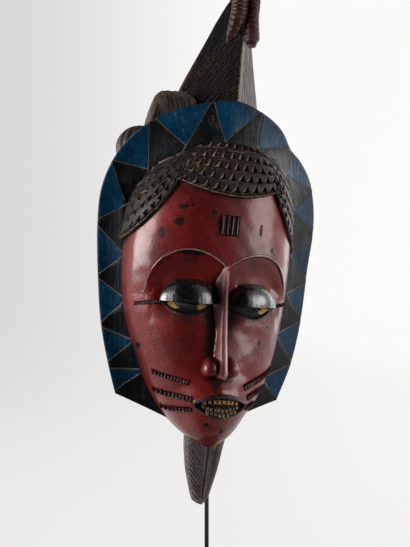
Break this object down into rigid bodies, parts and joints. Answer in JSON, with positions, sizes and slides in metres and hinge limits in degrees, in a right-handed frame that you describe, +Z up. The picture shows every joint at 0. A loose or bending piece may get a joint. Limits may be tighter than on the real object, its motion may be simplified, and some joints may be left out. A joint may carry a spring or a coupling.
{
  "type": "guro mask",
  "caption": "Carved and painted wooden face mask with a patterned collar and tall crest, resting on a steel rod stand.",
  "frame": {"origin": "middle of the flat underside of the stand's foot", "axes": "+Z up along the stand's rod; the mask looks along -Y; +X to the right as seen from the front"},
  "size_m": [0.1943, 0.14, 0.5353],
  "materials": {
    "painted_wood": "glossy red face, dark hair, blue and black collar, all worn to the wood at the edges",
    "stand_steel": "blackened, satin"
  },
  "bodies": {
    "root": {"mask": "painted_wood", "stand_rod": "stand_steel", "stand_foot": "stand_steel"}
  },
  "joints": []
}
